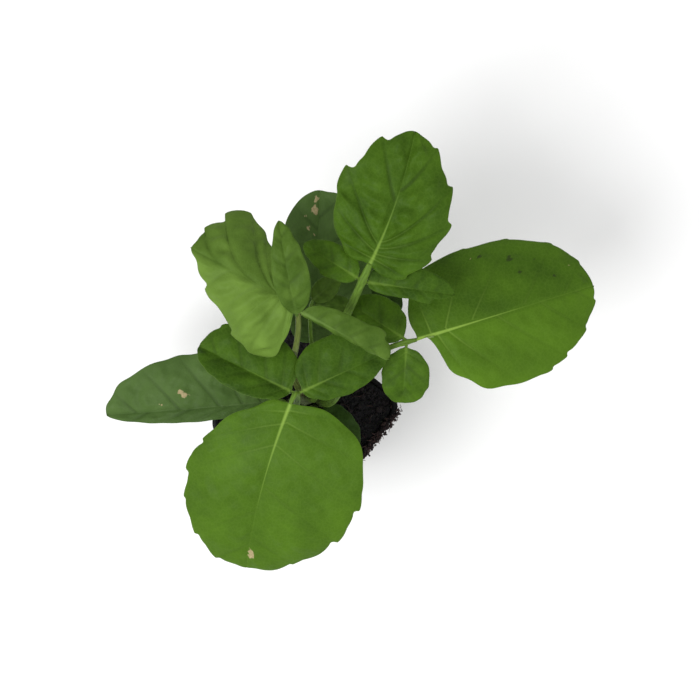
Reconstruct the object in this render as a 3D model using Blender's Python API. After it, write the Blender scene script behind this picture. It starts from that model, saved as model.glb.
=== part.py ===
"""A potted valerian plant: a young valerian standing in a square plastic nursery pot.

The plant is a rosette. Its petioles rise from one short rootstock at the middle of the pot. The
four younger leaves are compound, each with one large end leaflet and smaller side leaflets below
it. The four oldest leaves are simple, and one new leaf is just opening near the middle.

Sizes are millimetres and angles are degrees, and MM turns millimetres into Blender's metres. The
origin is at the centre of the pot's underside. +Z is up and +Y is the back. An azimuth is counted
from +X towards +Y. The left of a blade is on the left hand of someone who looks along it from its
foot to its tip.
"""

import math
from dataclasses import dataclass, field

import bmesh
import bpy
import numpy as np

MM = 0.001
FIT_GAP = 0.35  # between pieces that touch

# The pot: a thin square cup with round corners and a folded rim band
POT_TURN = 51.5  # azimuth of one of its faces' normals
RIM_SIDE = 70.0
FOOT_SIDE = 50.0
POT_HEIGHT = 70.0
POT_WALL = 1.2
RIM_BAND_HEIGHT = 7.0
RIM_BAND_DEPTH = 1.2  # how far the band stands out from the wall below it
EDGE_ROUND = 0.5
CORNER_SHARE = 0.14  # corner radius as a share of the side
CORNER_STEPS = 5
DRAIN_RADIUS = 3.0
DRAIN_REACH = 17.0  # from the pot's axis to each drain hole

# The soil fills the pot to just under its rim and rises a little to the plant's crown
SOIL_DROP = 2.5  # below the rim, at the wall
SOIL_MOUND = 2.5
MOUND_WIDTH = 16.0
SOIL_TOP = POT_HEIGHT - SOIL_DROP
SOIL_EDGE = 1.5  # height of the bevels at the soil's lower and upper edges
SOIL_RINGS = (0.97, 0.82, 0.62, 0.42, 0.22)  # sides of the top's rings, as shares of its own

# The rootstock: a stubby upright tap that stands in the soil
CROWN = (0.0, 9.0)
CROWN_RADIUS = 5.5
CROWN_TOP = SOIL_TOP + SOIL_MOUND + 3.5
ROOT_DEPTH = 34.0  # below the crown's top
ROOT_SIDES = 12
SOCKET_EXTRA = 6.0  # how far the soil's socket is cut above the crown
TOP_RING = 2.2  # from the rootstock's axis to the petioles that stand on its top
SIDE_FOOT_RISE = 0.8  # of the other petioles' feet above the soil's mound

BLADE_THICKNESS = 0.5
END_BLADE_START = 0.65  # past the petiole's end
BLADE_ROWS = 11
BLADE_COLUMNS = 6
LEAST_HALF_WIDTH = 0.5
PETIOLE_POINTS = 11
PETIOLE_FOOT_PITCH = 76.0
PETIOLE_SIDES_RESOLUTION = 2  # gives 8 sides


@dataclass
class Blade:
    """One leaf blade or leaflet, as a sheet that is bent along its midrib and across it.

    A pair gives the value of the left half and of the right half.
    """

    name: str
    azimuth: float  # heading of the midrib at its foot
    pitch: float  # rise of the midrib at its foot
    length: float  # along the midrib
    half_width: tuple  # the greatest
    droop: float = -14.0  # change of pitch from foot to tip
    sweep: float = 0.0  # change of azimuth from foot to tip
    tilt: tuple = (10.0, 10.0)  # rise of each half where it leaves the midrib
    curl: tuple = (-20.0, -20.0)  # change of that rise on the way to the margin
    widest: tuple = (0.45, 0.45)  # where along the midrib the blade is widest
    foot_form: tuple = (2.0, 2.0)  # 1 is a straight taper, 2 an ellipse, 3 nearly square
    tip_form: tuple = (1.7, 1.7)
    lobe: tuple = (0.0, 0.0)  # how far the foot's corners reach back, as a share of the half width
    rake: tuple = (0.0, 0.0)  # how far each margin lies ahead, as a share of its reach
    stalk: tuple = (0.0, 0.0)  # length of the narrow stalk below each half
    colour: str = "green"


@dataclass
class Leaf:
    """A petiole that rises from the rootstock, its end blade, and any side leaflets."""

    name: str
    foot_azimuth: float  # where the petiole leaves the rootstock
    end: tuple  # where the petiole meets the end blade
    azimuth: float  # heading of the petiole at its end
    pitch: float
    rise: float  # length of the petiole's lower handle
    reach: float  # length of its upper handle
    blade: Blade
    leaflets: list = field(default_factory=list)
    node_back: float = 6.0  # from the petiole's end back to the side leaflets
    foot_radius: float = 2.0
    end_radius: float = 1.1
    on_top: bool = False  # whether it stands on the rootstock's top, or around its side


# The compound leaves, from the lowest to the youngest
FRONT = Leaf(
    "front_leaf", 255, (-2.9, 9.4, 147), 246, 0, 62, 16,
    Blade("front_leaf_end_blade", 248, -2, 85, (42, 34), droop=-38, sweep=13, tilt=(4, 4),
          widest=(0.42, 0.46), foot_form=(2.4, 1.65), tip_form=(1.88, 1.72), lobe=(0.25, 0.1),
          rake=(0, 0.1)),
    [
        Blade("front_leaf_left_leaflet", 154, 0, 45.5, (11, 18), tilt=(35, 4), widest=(0.48, 0.48),
              foot_form=(2.0, 3.2), tip_form=(2.0, 2.0), stalk=(1, 1)),
        Blade("front_leaf_right_leaflet", 25, 6, 41, (17, 9.5), droop=-16, widest=(0.48, 0.48),
              foot_form=(3.0, 2.0), stalk=(1, 1)),
    ],
    node_back=5.5,
)
RIGHT = Leaf(
    "right_leaf", 342, (49.8, 35.6, 135.6), 12, 7, 55, 38,
    Blade("right_leaf_end_blade", 17, 2.5, 86, (33, 32.5), droop=-27, tilt=(3, -4), curl=(-30, -14),
          widest=(0.49, 0.45), foot_form=(3.0, 2.3), tip_form=(2.1, 1.72), rake=(-0.08, -0.02),
          stalk=(0.8, 8)),
    [
        Blade("right_leaf_back_leaflet", 147, 2, 28, (7, 11), droop=-10, foot_form=(2.2, 2.2),
              tip_form=(2.0, 2.0), stalk=(1, 1)),
        Blade("right_leaf_front_leaflet", 267, -6, 26, (11, 10), droop=-20, widest=(0.5, 0.5),
              tip_form=(2.2, 2.2), stalk=(0.8, 0.8)),
    ],
    node_back=4.0,
)
BACK = Leaf(
    "back_leaf", 60, (30, 66.5, 155), 66, 30, 58, 32,
    Blade("back_leaf_end_blade", 63, 20, 58, (24.3, 23.3), droop=-22, sweep=16, tilt=(8, 4),
          tip_form=(1.55, 1.48), lobe=(0.3, 0.5)),
    [
        Blade("back_leaf_left_leaflet", 148, 6, 27, (6, 8), foot_form=(2.4, 2.4), stalk=(0.5, 0.5)),
        Blade("back_leaf_right_leaflet", 352, 6, 37, (9.5, 4.5), foot_form=(2.8, 2.8),
              stalk=(0.3, 0.3)),
    ],
    node_back=7.5,
    foot_radius=2.3,
    end_radius=1.6,
)
YOUNG = Leaf(
    "young_leaf", 120, (0.3, 49.5, 163), 97, 42, 62, 26,
    Blade("young_leaf_end_blade", 152, 8, 50, (30, 27), droop=-24, tilt=(-8, -14), curl=(-34, -20),
          widest=(0.36, 0.5), foot_form=(2.9, 1.3), tip_form=(1.15, 1.3), rake=(-0.35, 0.45),
          stalk=(1.5, 1.5), colour="young"),
    [
        Blade("young_leaf_left_leaflet", 100, 52, 42, (6.5, 8.5), droop=-72, widest=(0.42, 0.42),
              foot_form=(1.9, 1.9), tip_form=(1.5, 1.5), stalk=(0.6, 0.6), colour="young"),
        Blade("young_leaf_right_leaflet", 332, 2, 41, (8.5, 5), tilt=(10, -70), widest=(0.6, 0.6),
              foot_form=(2.4, 2.4), tip_form=(2.2, 2.2), stalk=(0.6, 0.6), colour="young"),
    ],
    node_back=3.0,
    foot_radius=1.6,
    on_top=True,
)
NEW = Leaf(
    "new_leaf", 330, (6, 52.5, 141), 65, 50, 50, 18,
    Blade("new_leaf_end_blade", 40, 10, 15, (5, 5), colour="young"),
    [
        Blade("new_leaf_side_leaflet", 0, -6, 16, (5, 5), tip_form=(2.4, 2.4), colour="young"),
    ],
    node_back=3.0,
    foot_radius=1.1,
    end_radius=0.8,
    on_top=True,
)

# The simple leaves, which are the oldest
LEFT = Leaf(
    "left_leaf", 212, (-13, 7.5, 88), 184, 30, 10, 4,
    Blade("left_leaf_blade", 186, 4, 83, (6.5, 26), droop=-22, sweep=-2, tip_form=(1.8, 1.8),
          colour="old"),
)
REAR = Leaf(
    "rear_leaf", 100, (7, 34, 103), 88, 20, 24, 16,
    Blade("rear_leaf_blade", 89, 18, 70, (17, 25), droop=-20, widest=(0.64, 0.64),
          foot_form=(3.2, 3.2), tip_form=(1.8, 1.8), colour="old"),
)
HIDDEN = Leaf(
    "hidden_leaf", 12, (18, 35, 96), 36, 18, 20, 14,
    Blade("hidden_leaf_blade", 42, 14, 36, (17, 12), droop=-18, foot_form=(2.4, 2.4),
          lobe=(0.6, 0.3), colour="old"),
)
LOW = Leaf(
    "low_leaf", 303, (5.5, 0.5, 77), 300, 20, 3, 2,
    Blade("low_leaf_blade", 306, 14, 26, (14, 12), droop=-18, foot_form=(2.4, 2.4),
          tip_form=(2.2, 2.2), lobe=(0.5, 0), stalk=(1.5, 1.5), colour="old"),
    foot_radius=1.6,
    end_radius=1.2,
)
LEAVES = [FRONT, RIGHT, BACK, YOUNG, NEW, LEFT, REAR, HIDDEN, LOW]

COLOURS = {
    "plastic": ((0.012, 0.012, 0.013), 0.55),
    "soil": ((0.022, 0.015, 0.011), 0.95),
    "root": ((0.30, 0.22, 0.10), 0.8),
    "stalk": ((0.24, 0.33, 0.07), 0.5),
    "green": ((0.085, 0.18, 0.02), 0.5),
    "young": ((0.16, 0.26, 0.055), 0.55),
    "old": ((0.06, 0.12, 0.03), 0.55),
}


def clear_scene():
    for old in list(bpy.data.objects):
        bpy.data.objects.remove(old, do_unlink=True)


def material(name):
    """The Principled material of one finish."""
    made = bpy.data.materials.get(name)
    if made is None:
        colour, roughness = COLOURS[name]
        made = bpy.data.materials.new(name)
        made.use_nodes = True
        shader = made.node_tree.nodes["Principled BSDF"]
        shader.inputs["Base Color"].default_value = (*colour, 1.0)
        shader.inputs["Roughness"].default_value = roughness
        shader.inputs["Metallic"].default_value = 0.0
    return made


def add_object(name, data, finish):
    data.materials.append(material(finish))
    made = bpy.data.objects.new(name, data)
    bpy.context.scene.collection.objects.link(made)
    return made


def add_mesh(name, points, faces, finish):
    mesh = bpy.data.meshes.new(name)
    mesh.from_pydata([tuple(MM * x for x in point) for point in points], [], faces)
    mesh.update()
    mesh.shade_smooth()
    return add_object(name, mesh, finish)


def rounded_square(side, height):
    """The corner points of a square ring with round corners, anticlockwise from above."""
    radius = side * CORNER_SHARE
    flat = side / 2 - radius
    ring = []
    for corner in range(4):
        middle = math.radians(POT_TURN + 45 + 90 * corner)
        out = flat * math.sqrt(2)
        for step in range(CORNER_STEPS):
            turn = middle + math.radians(90 * step / (CORNER_STEPS - 1) - 45)
            ring.append(
                (
                    out * math.cos(middle) + radius * math.cos(turn),
                    out * math.sin(middle) + radius * math.sin(turn),
                    height,
                )
            )
    return ring


def side_at(height):
    """The side of the pot's wall at a height, along its straight taper to just inside the rim band."""
    top_side = RIM_SIDE - 2 * RIM_BAND_DEPTH
    return FOOT_SIDE + (top_side - FOOT_SIDE) * height / POT_HEIGHT


def ring_stack(name, rings, finish):
    """A closed solid through a stack of equal rings, capped at its first and last ring."""
    count = len(rings[0])
    points = [point for ring in rings for point in ring]
    faces = [tuple(reversed(range(count)))]
    for level in range(len(rings) - 1):
        for i in range(count):
            low, high = level * count, (level + 1) * count
            j = (i + 1) % count
            faces.append((low + i, low + j, high + j, high + i))
    last = (len(rings) - 1) * count
    faces.append(tuple(last + i for i in range(count)))
    return add_mesh(name, points, faces, finish)


def cut(target, cutter):
    """Takes cutter out of target by an exact Boolean, and hides the cutter."""
    cutter.hide_render = True
    cutter.display_type = "WIRE"
    difference = target.modifiers.new("cut_" + cutter.name, "BOOLEAN")
    difference.operation = "DIFFERENCE"
    difference.solver = "EXACT"
    difference.object = cutter


def make_pot():
    """The pot: a tapering wall with a rim band, the inner wall, and a floor with four drain holes."""
    inside = 2 * POT_WALL
    band_foot = POT_HEIGHT - RIM_BAND_HEIGHT
    edge = EDGE_ROUND
    outer = [
        (FOOT_SIDE - 2 * edge, 0.0),
        (FOOT_SIDE, edge),
        (side_at(band_foot - RIM_BAND_DEPTH), band_foot - RIM_BAND_DEPTH),
        (RIM_SIDE - edge, band_foot),
        (RIM_SIDE, POT_HEIGHT - edge),
    ]
    inner_top = side_at(POT_HEIGHT) - inside
    top = [(RIM_SIDE - 2 * edge, POT_HEIGHT), (inner_top + 2 * edge, POT_HEIGHT)]
    inner = [
        (inner_top, POT_HEIGHT - edge),
        (side_at(POT_WALL + edge) - inside, POT_WALL + edge),
        (side_at(POT_WALL) - inside - 2 * edge, POT_WALL),
    ]
    pot = ring_stack("pot", [rounded_square(*level) for level in outer + top + inner], "plastic")
    for corner in range(4):
        turn = math.radians(POT_TURN + 45 + 90 * corner)
        mesh = bpy.data.meshes.new("drain")
        shape = bmesh.new()
        bmesh.ops.create_cone(shape, cap_ends=True, segments=12, radius1=DRAIN_RADIUS * MM,
                              radius2=DRAIN_RADIUS * MM, depth=4 * POT_WALL * MM)
        shape.to_mesh(mesh)
        shape.free()
        drain = bpy.data.objects.new(f"drain_cutter_{corner}", mesh)
        bpy.context.scene.collection.objects.link(drain)
        drain.location = (DRAIN_REACH * math.cos(turn) * MM, DRAIN_REACH * math.sin(turn) * MM, 0)
        cut(pot, drain)
    return pot


def soil_height(x, y):
    """The soil's top: a low mound at the crown with soft hollows."""
    near = math.exp(-((x - CROWN[0]) ** 2 + (y - CROWN[1]) ** 2) / MOUND_WIDTH**2)
    bumps = 0.5 * math.sin(0.31 * x + 1.0) * math.cos(0.27 * y) + 0.3 * math.sin(0.55 * y + 0.2 * x)
    return SOIL_TOP + SOIL_MOUND * near + bumps * (1 - near)


def make_soil():
    """The soil block, with a socket for the rootstock."""
    gap = 2 * (POT_WALL + FIT_GAP)
    low = POT_WALL + FIT_GAP
    rings = [
        rounded_square(side_at(low) - gap - 2 * SOIL_EDGE, low),
        rounded_square(side_at(low + SOIL_EDGE) - gap, low + SOIL_EDGE),
        rounded_square(side_at(SOIL_TOP - SOIL_EDGE) - gap, SOIL_TOP - SOIL_EDGE),
    ]
    wall_side = side_at(SOIL_TOP) - gap
    for share in SOIL_RINGS:
        flat = rounded_square(wall_side * share, 0)
        rings.append([(x, y, soil_height(x, y)) for x, y, _ in flat])
    soil = ring_stack("potting_soil", rings, "soil")
    socket = turned("rootstock_socket", FIT_GAP, SOCKET_EXTRA, "root")
    cut(soil, socket)
    return soil


def turned(name, grow, extra_height, finish):
    """The rootstock's turned shape, grown by a gap on all sides and longer at its top by extra_height."""
    top = CROWN_TOP
    radius = CROWN_RADIUS
    profile = [
        (0.25 * radius, top - ROOT_DEPTH),
        (0.55 * radius, top - 0.85 * ROOT_DEPTH),
        (0.85 * radius, top - 0.5 * ROOT_DEPTH),
        (radius, top - 0.2 * ROOT_DEPTH),
        (0.85 * radius, top - 1.0),
        (0.75 * radius, top),
    ]
    if extra_height:
        profile = profile[:-2] + [(radius, top + extra_height)]
    rings = []
    for level, (r, z) in enumerate(profile):
        drop = grow if level == 0 else 0.0
        ring = []
        for step in range(ROOT_SIDES):
            turn = 2 * math.pi * step / ROOT_SIDES
            ring.append((CROWN[0] + (r + grow) * math.cos(turn),
                         CROWN[1] + (r + grow) * math.sin(turn), z - drop))
        rings.append(ring)
    return ring_stack(name, rings, finish)


def heading(azimuth, pitch):
    """The unit vector of a heading."""
    a, p = math.radians(azimuth), math.radians(pitch)
    return np.array([math.cos(a) * math.cos(p), math.sin(a) * math.cos(p), math.sin(p)])


def petiole_line(leaf, shares):
    """Points of the petiole's cubic curve, from the rootstock to the end blade."""
    if leaf.on_top:
        ring, height = TOP_RING, CROWN_TOP + 2 * FIT_GAP
    else:
        ring, height = CROWN_RADIUS + leaf.foot_radius + FIT_GAP, SOIL_TOP + SOIL_MOUND + SIDE_FOOT_RISE
    foot = np.array([*CROWN, height]) + ring * heading(leaf.foot_azimuth, 0)
    lower = foot + leaf.rise * heading(leaf.foot_azimuth, PETIOLE_FOOT_PITCH)
    end = np.array(leaf.end, float)
    upper = end - leaf.reach * heading(leaf.azimuth, leaf.pitch)
    t = np.asarray(shares, float)[:, None]
    return (
        (1 - t) ** 3 * foot
        + 3 * (1 - t) ** 2 * t * lower
        + 3 * (1 - t) * t**2 * upper
        + t**3 * end
    )


def node_share(leaf):
    """The share of the petiole's curve that lies below its side leaflets."""
    shares = np.linspace(0, 1, 101)
    line = petiole_line(leaf, shares)
    to_end = np.cumsum(np.linalg.norm(np.diff(line[::-1], axis=0), axis=1))
    return 1 - float(np.interp(leaf.node_back, to_end, shares[1:]))


def petiole_radius(leaf, share):
    return leaf.foot_radius + (leaf.end_radius - leaf.foot_radius) * share


def make_petiole(leaf):
    """The petiole as a tapered round curve with filled caps."""
    shares = np.linspace(0, 1, PETIOLE_POINTS)
    line = petiole_line(leaf, shares)
    data = bpy.data.curves.new(leaf.name + "_petiole", "CURVE")
    data.dimensions = "3D"
    data.bevel_depth = MM
    data.bevel_resolution = PETIOLE_SIDES_RESOLUTION
    data.use_fill_caps = True
    spline = data.splines.new("POLY")
    spline.points.add(len(line) - 1)
    for point, place, share in zip(spline.points, line, shares):
        point.co = (*(place * MM), 1.0)
        point.radius = petiole_radius(leaf, share)
    return add_object(leaf.name + "_petiole", data, "stalk")


def midrib(blade, foot, shares):
    """Points, tangents and left-hand directions along the midrib, whose heading turns steadily."""
    fine = np.linspace(0, 1, 61)
    a = np.radians(blade.azimuth + blade.sweep * fine)
    p = np.radians(blade.pitch + blade.droop * fine)
    ahead = np.stack([np.cos(a) * np.cos(p), np.sin(a) * np.cos(p), np.sin(p)], axis=1)
    steps = (ahead[1:] + ahead[:-1]) / 2 * blade.length / (len(fine) - 1)
    line = foot + np.concatenate([np.zeros((1, 3)), np.cumsum(steps, axis=0)])
    pick = lambda table: np.stack([np.interp(shares, fine, table[:, k]) for k in range(3)], axis=1)
    line, ahead = pick(line), pick(ahead)
    leftward = np.cross([0, 0, 1], ahead)
    leftward /= np.linalg.norm(leftward, axis=1)[:, None]
    return line, ahead, leftward


def outline(blade, half, shares):
    """A half's width along the midrib as a share of its greatest: two quarters of a superellipse."""
    stalk = blade.stalk[half] / blade.length
    widest = blade.widest[half]
    shares = (shares - stalk) / (1 - stalk)
    foot_side = shares < widest
    away = np.where(foot_side, 1 - shares / widest, (shares - widest) / (1 - widest))
    form = np.where(foot_side, blade.foot_form[half], blade.tip_form[half])
    return (1 - np.clip(away, 0, 1) ** form) ** (1 / form)


def blade_points(blade, foot, rows, columns):
    """The blade's grid of points: each row crosses the blade from its right margin to its left.

    Each half leaves the midrib at its tilt and bends along an arc by its curl.
    """
    shares = 0.5 - 0.5 * np.cos(np.linspace(0, math.pi, rows))
    line, ahead, leftward = midrib(blade, foot, shares)
    upward = np.cross(ahead, leftward)
    grid = np.zeros((rows, columns + 1, 3))
    for j, v in enumerate(np.linspace(-1, 1, columns + 1)):
        half = 0 if v > 0 else 1
        widest = blade.half_width[half]
        reach = abs(v) * np.maximum(widest * outline(blade, half, shares), LEAST_HALF_WIDTH)
        bend = math.radians(blade.curl[half]) * reach / widest / 2
        rise = math.radians(blade.tilt[half]) + bend
        chord = reach * np.sinc(bend / math.pi)
        out = np.sign(v) * chord * np.cos(rise)
        up = chord * np.sin(rise)
        lobe = blade.lobe[half] * abs(v) * reach * (1 - shares) ** 4
        on = blade.rake[half] * reach - lobe
        grid[:, j] = line + ahead * on[:, None] + leftward * out[:, None] + upward * up[:, None]
    return grid


def make_blade(blade, foot):
    """The blade's sheet, made solid by a Solidify modifier."""
    grid = blade_points(blade, foot, BLADE_ROWS, BLADE_COLUMNS)
    rows, count, _ = grid.shape
    faces = []
    for i in range(rows - 1):
        for j in range(count - 1):
            k = i * count + j
            faces.append((k, k + count, k + count + 1, k + 1))
    made = add_mesh(blade.name, grid.reshape(-1, 3), faces, blade.colour)
    solidify = made.modifiers.new("thickness", "SOLIDIFY")
    solidify.thickness = BLADE_THICKNESS * MM
    solidify.offset = 0.0
    return made


def leaflet_foot(leaf, leaflet):
    """Where a side leaflet starts: beside its node, square to the petiole, on the side it heads for."""
    share = node_share(leaf)
    before, node, after = petiole_line(leaf, [share - 0.01, share, share + 0.01])
    along = (after - before) / np.linalg.norm(after - before)
    ahead = heading(leaflet.azimuth, leaflet.pitch)
    side = ahead - ahead.dot(along) * along
    clear = petiole_radius(leaf, share) + FIT_GAP + BLADE_THICKNESS / 2
    return node + clear * side / np.linalg.norm(side)


def make_leaf(leaf):
    """The petiole, the end blade just past its end, and the side leaflets on its node."""
    make_petiole(leaf)
    end = np.array(leaf.end, float)
    make_blade(leaf.blade, end + END_BLADE_START * heading(leaf.azimuth, leaf.pitch))
    for leaflet in leaf.leaflets:
        make_blade(leaflet, leaflet_foot(leaf, leaflet))


def main():
    clear_scene()
    make_pot()
    make_soil()
    turned("rootstock", 0.0, 0.0, "root")
    for leaf in LEAVES:
        make_leaf(leaf)


main()
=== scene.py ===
"""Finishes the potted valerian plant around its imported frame: pot, soil, rootstock, petioles, leaves.

Lengths are millimetres until a mesh is made, angles are degrees, and an azimuth is counted from +X
towards +Y. The left of a blade is on the left hand of someone who looks along it from its foot.
"""

import bmesh
import bpy
import numpy as np
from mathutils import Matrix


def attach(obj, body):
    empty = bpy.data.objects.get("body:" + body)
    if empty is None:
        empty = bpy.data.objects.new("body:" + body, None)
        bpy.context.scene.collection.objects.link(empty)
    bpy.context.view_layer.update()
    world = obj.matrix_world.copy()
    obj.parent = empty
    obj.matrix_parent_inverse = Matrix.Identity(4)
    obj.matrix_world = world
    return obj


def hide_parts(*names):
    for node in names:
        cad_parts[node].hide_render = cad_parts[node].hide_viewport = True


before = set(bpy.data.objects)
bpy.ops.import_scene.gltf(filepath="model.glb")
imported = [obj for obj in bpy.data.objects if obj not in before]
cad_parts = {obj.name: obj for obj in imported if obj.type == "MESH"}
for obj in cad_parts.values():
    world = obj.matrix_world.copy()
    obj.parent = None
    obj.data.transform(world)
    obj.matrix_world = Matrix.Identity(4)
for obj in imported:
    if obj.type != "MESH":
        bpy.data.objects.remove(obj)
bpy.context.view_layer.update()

MM = 0.001

# ---------------------------------------------------------------------------------------------
# The pot is a 7 cm square nursery pot, drawn from one thin sheet of black polypropylene, with a
# folded rim, shallow ribs by its corners and four drain holes. It is matt, and a little dusty.

POT_TURN = 51.5
RIM_SIDE = 70.0
FOOT_SIDE = 50.0
POT_HEIGHT = 70.0
POT_WALL = 1.0
RIM_BAND_HEIGHT = 7.0
RIM_BAND_DEPTH = 1.2
CORNER_SHARE = 0.14
POT_COLUMNS = 336
FOOT_EDGE = 0.45  # the rounding of the pot's foot and of its floor's edge
LIP_HEIGHT = 0.8
RIB_PLACES = (0.32, 0.68)  # along each face
RIB_HEIGHT = 0.45
RIB_WIDTH = 1.4 / 60  # as a share of a face
DRAIN_RADIUS = 3.0
DRAIN_REACH = 17.0
DRAIN_SIDES = 32


def heading(azimuth, pitch=0.0):
    """The unit vector of a heading: cosines and sines of its azimuth and its rise."""
    a, p = np.radians(azimuth), np.radians(pitch)
    return np.array([np.cos(a) * np.cos(p), np.sin(a) * np.cos(p), np.sin(p)])


def rounded_square(columns):
    """Points and outward normals of a square of side 1 with round corners, spaced evenly round it.

    Each point is a corner's centre plus the corner radius along a normal. The normal turns only
    along a corner, and the centre moves only along a flat.
    """
    flat, arc = 1 - 2 * CORNER_SHARE, CORNER_SHARE * np.pi / 2
    walk = np.arange(columns) / columns * 4 * (flat + arc)
    side, along = np.divmod(walk + flat / 2, flat + arc)
    turn = np.clip((along - flat) / arc, 0, 1) * np.pi / 2
    base = np.radians(POT_TURN) + side * np.pi / 2
    normal = np.stack([np.cos(base + turn), np.sin(base + turn)], axis=-1)
    slide = np.minimum(along, flat) - flat / 2
    outward = np.stack([np.cos(base), np.sin(base)], axis=-1)
    onward = np.stack([-np.sin(base), np.cos(base)], axis=-1)
    centre = outward * (0.5 - CORNER_SHARE) + onward * slide[:, None]
    return centre + normal * CORNER_SHARE, normal


def pot_side(height):
    """The side of the pot's wall at a height: a straight taper to just inside the rim band."""
    return FOOT_SIDE + (RIM_SIDE - 2 * RIM_BAND_DEPTH - FOOT_SIDE) * height / POT_HEIGHT


def new_material(name, colour, roughness, specular=0.5):
    """A material with one Principled shader, with its colour, roughness and specular level set."""
    made = bpy.data.materials.new(name)
    made.use_nodes = True
    shader = made.node_tree.nodes["Principled BSDF"]
    shader.inputs["Base Color"].default_value = (*colour, 1)
    shader.inputs["Roughness"].default_value = roughness
    shader.inputs["Specular IOR Level"].default_value = specular
    return made, shader


def add_node(made, kind, inputs=(), **settings):
    """One more node of a kind, with its settings, and its inputs set or joined to another's output."""
    node = made.node_tree.nodes.new("ShaderNode" + kind)
    for key, value in settings.items():
        setattr(node, key, value)
    for key, value in dict(inputs).items():
        if isinstance(value, bpy.types.NodeSocket):
            made.node_tree.links.new(value, node.inputs[key])
        else:
            node.inputs[key].default_value = value
    return node


def object_place(made):
    """The point's own place on its object, in metres."""
    return add_node(made, "TexCoord").outputs["Object"]


def noise(made, place, size, detail=3.0, rough=0.55):
    """Noise whose lumps are about size metres across, from 0 to 1."""
    return add_node(made, "TexNoise", {"Vector": place, "Scale": 1 / size, "Detail": detail,
                                       "Roughness": rough}).outputs["Fac"]


def stretch(made, value, low, high, to_low=0.0, to_high=1.0):
    """Carries a value from one range to another, and holds it at the ends."""
    return add_node(made, "MapRange", {"Value": value, "From Min": low, "From Max": high,
                                       "To Min": to_low, "To Max": to_high}).outputs["Result"]


def attribute(made, key):
    """The number that the mesh holds at each point under a name."""
    return add_node(made, "Attribute", attribute_name=key).outputs["Fac"]


def math_of(made, operation, first, second=0.0, clamp=False):
    """The result of one operation on two numbers, which may be held between 0 and 1."""
    return add_node(made, "Math", {0: first, 1: second}, operation=operation,
                    use_clamp=clamp).outputs[0]


def product(made, first, second):
    """One number times another."""
    return math_of(made, "MULTIPLY", first, second)


def flat_place(made, x, y):
    """A place in a plane, made of two numbers."""
    return add_node(made, "CombineXYZ", {0: x, 1: y}).outputs[0]


def blend_colours(made, share, first, second):
    """The two colours mixed by a share. Each colour is three numbers or another node's output."""
    colours = [c if isinstance(c, bpy.types.NodeSocket) else (*c, 1) for c in (first, second)]
    return add_node(made, "Mix", {0: share, 6: colours[0], 7: colours[1]}, data_type="RGBA").outputs[2]


def bump(made, shader, height, depth, below=None):
    """Gives the shader a bump of the height, depth metres deep, on top of the bump below."""
    node = add_node(made, "Bump", {"Height": height, "Distance": depth, "Strength": 1.0})
    if below is not None:
        made.node_tree.links.new(below, node.inputs["Normal"])
    made.node_tree.links.new(node.outputs["Normal"], shader.inputs["Normal"])
    return node.outputs["Normal"]


def join(made, output, shader, key):
    """Feeds a node's output into one of the shader's sockets."""
    made.node_tree.links.new(output, shader.inputs[key])


def pot_plastic():
    """Black polypropylene: a fine moulded grain, pale dust in broad smears, a few dried splashes."""
    made, shader = new_material("pot_plastic", (0.005, 0.005, 0.006), 0.6, 0.1)
    place = object_place(made)
    dust = stretch(made, noise(made, place, 0.018, 6), 0.5, 0.75)
    splash = stretch(made, noise(made, place, 0.0028, 2), 0.68, 0.76)
    dirty = math_of(made, "MAXIMUM", product(made, dust, 0.15), product(made, splash, 0.5))
    colour = blend_colours(made, dirty, (0.005, 0.005, 0.006), (0.04, 0.033, 0.03))
    join(made, colour, shader, "Base Color")
    join(made, stretch(made, dirty, 0, 1, 0.46, 0.85), shader, "Roughness")
    bump(made, shader, noise(made, place, 0.0007, 2), 0.00006)
    return made


def add_piece(name, points, faces, finishes, slot, smooth=True, face_finish=None, **attributes):
    """Makes a mesh piece of points in millimetres, gives it its finishes, and rides it on the pot."""
    mesh = bpy.data.meshes.new(name)
    mesh.from_pydata((np.asarray(points) * MM).reshape(-1, 3), [], faces)
    for finish in finishes:
        mesh.materials.append(finish)
    if smooth:
        mesh.shade_smooth()
    if face_finish is not None:
        mesh.polygons.foreach_set("material_index", np.asarray(face_finish, np.int32))
    for key, value in attributes.items():
        layer = mesh.attributes.new(key, "FLOAT", "POINT")
        layer.data.foreach_set("value", np.asarray(value, np.float32).ravel())
    mesh.update()
    piece = bpy.data.objects.new(name, mesh)
    bpy.context.scene.collection.objects.link(piece)
    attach(piece, "root")
    return piece


def grid_faces(rows, columns, closed=False, start=0):
    """The quads of a grid of points stored row by row. A closed grid joins its last column to its
    first one."""
    across = columns if closed else columns - 1
    i, j = np.meshgrid(np.arange(rows - 1), np.arange(across), indexing="ij")
    on = (j + 1) % columns
    quads = [i * columns + j, i * columns + on, (i + 1) * columns + on, (i + 1) * columns + j]
    return np.stack(quads, axis=-1).reshape(-1, 4) + start


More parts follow.
